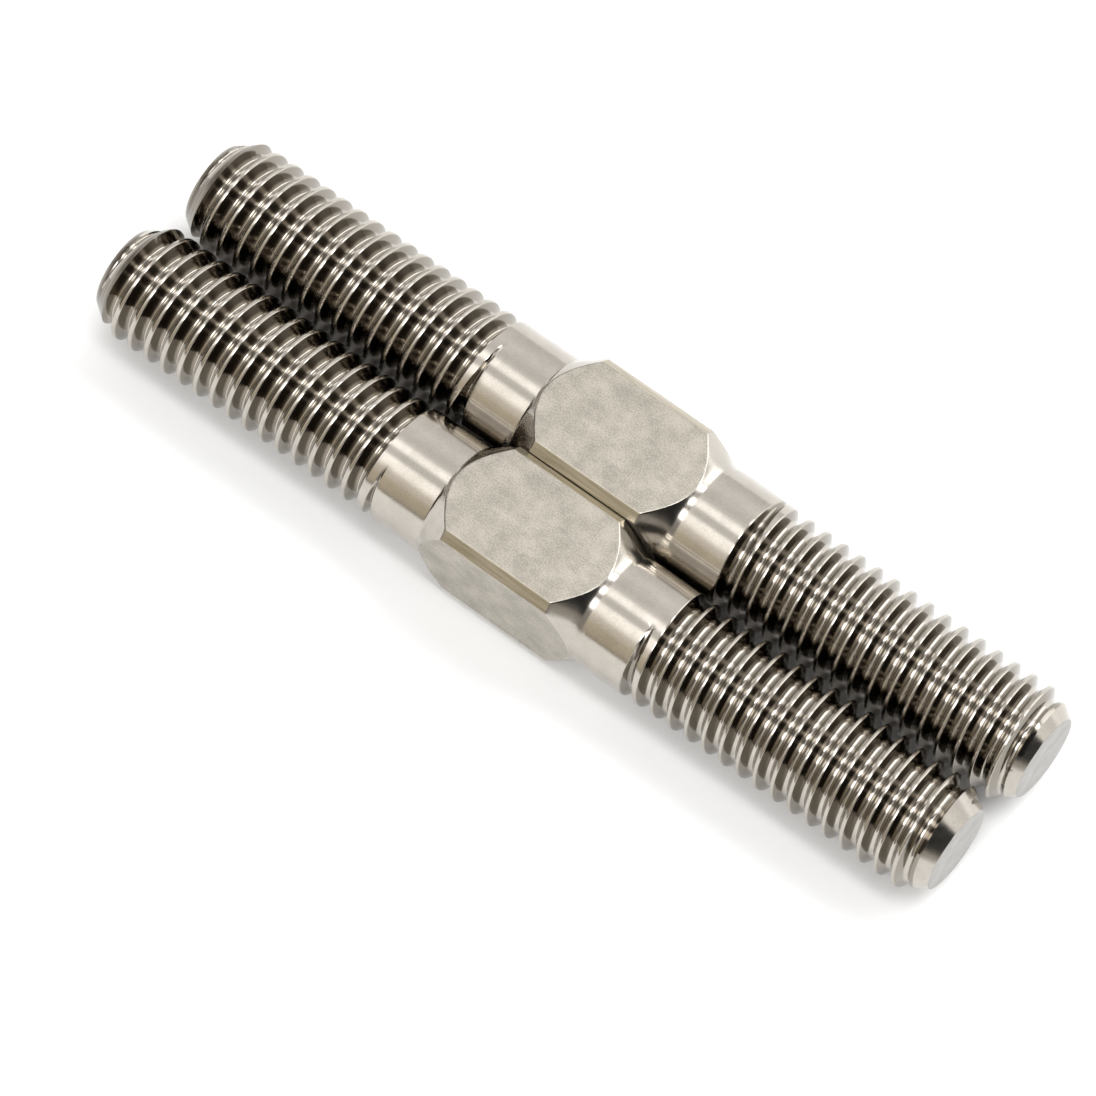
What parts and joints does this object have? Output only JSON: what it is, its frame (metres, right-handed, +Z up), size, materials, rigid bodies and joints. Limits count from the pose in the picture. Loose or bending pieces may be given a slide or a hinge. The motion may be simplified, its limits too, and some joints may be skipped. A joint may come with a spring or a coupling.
{
  "type": "adjusting rod pair",
  "caption": "Titanium adjusting rods with a square wrench block between a left-hand and a right-hand M3 thread, lying side by side.",
  "frame": {"origin": "middle of the surface under the two rods, below the gap between their wrench blocks", "axes": "+X along the rods towards their right-hand threaded ends, +Y from the front rod to the rear rod, +Z up"},
  "size_m": [0.025, 0.0062, 0.0031],
  "materials": {
    "titanium": "bare machined titanium: satin milled flats, polished shanks, bright thread crests"
  },
  "bodies": {
    "front_rod": {"turnbuckle_front": "titanium"},
    "rear_rod": {"turnbuckle_rear": "titanium"}
  },
  "joints": [
    {"name": "rear_rod_lift", "type": "slide", "parent": "front_rod", "child": "rear_rod", "axis": [0, 0, 1], "range_m": [0, 0.012]}
  ]
}
